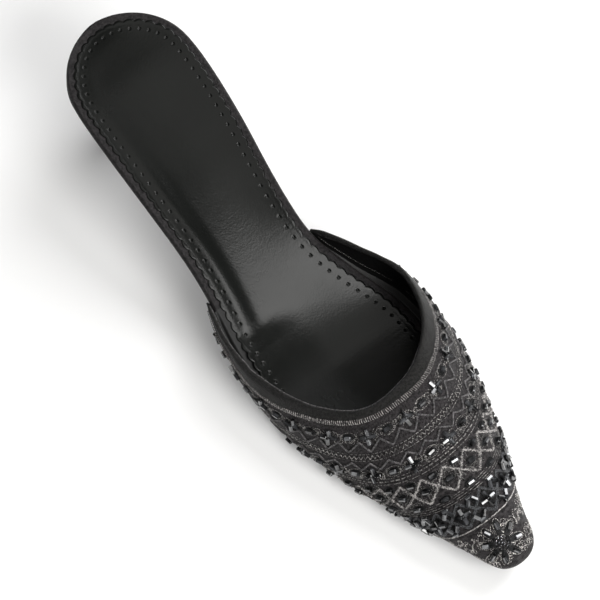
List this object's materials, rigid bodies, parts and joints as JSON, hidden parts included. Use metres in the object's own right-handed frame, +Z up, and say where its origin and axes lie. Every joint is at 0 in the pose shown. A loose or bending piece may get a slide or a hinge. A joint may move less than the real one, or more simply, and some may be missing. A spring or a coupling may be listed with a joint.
{
  "type": "kitten heel mule",
  "caption": "Pointed backless women's mule, right shoe, with a beaded and embroidered satin vamp, a dished footbed and a slim low heel.",
  "frame": {"origin": "on the floor, under the middle of the bounding box", "axes": "+Z up from the floor; the toe points to -Y and the heel to +Y; +X is the inner (medial) side of this right shoe"},
  "size_m": [0.0791, 0.2658, 0.0573],
  "materials": {
    "satin": "satin",
    "ribbon": "satin",
    "sock_leather": "semi-gloss",
    "sole_leather": "satin",
    "top_piece_rubber": "matte"
  },
  "bodies": {
    "root": {"outsole": "sole_leather", "insole_board": "satin", "sock_lining": "sock_leather", "upper": "satin", "topline_binding": "ribbon", "heel": "satin", "top_piece": "top_piece_rubber"}
  },
  "joints": []
}
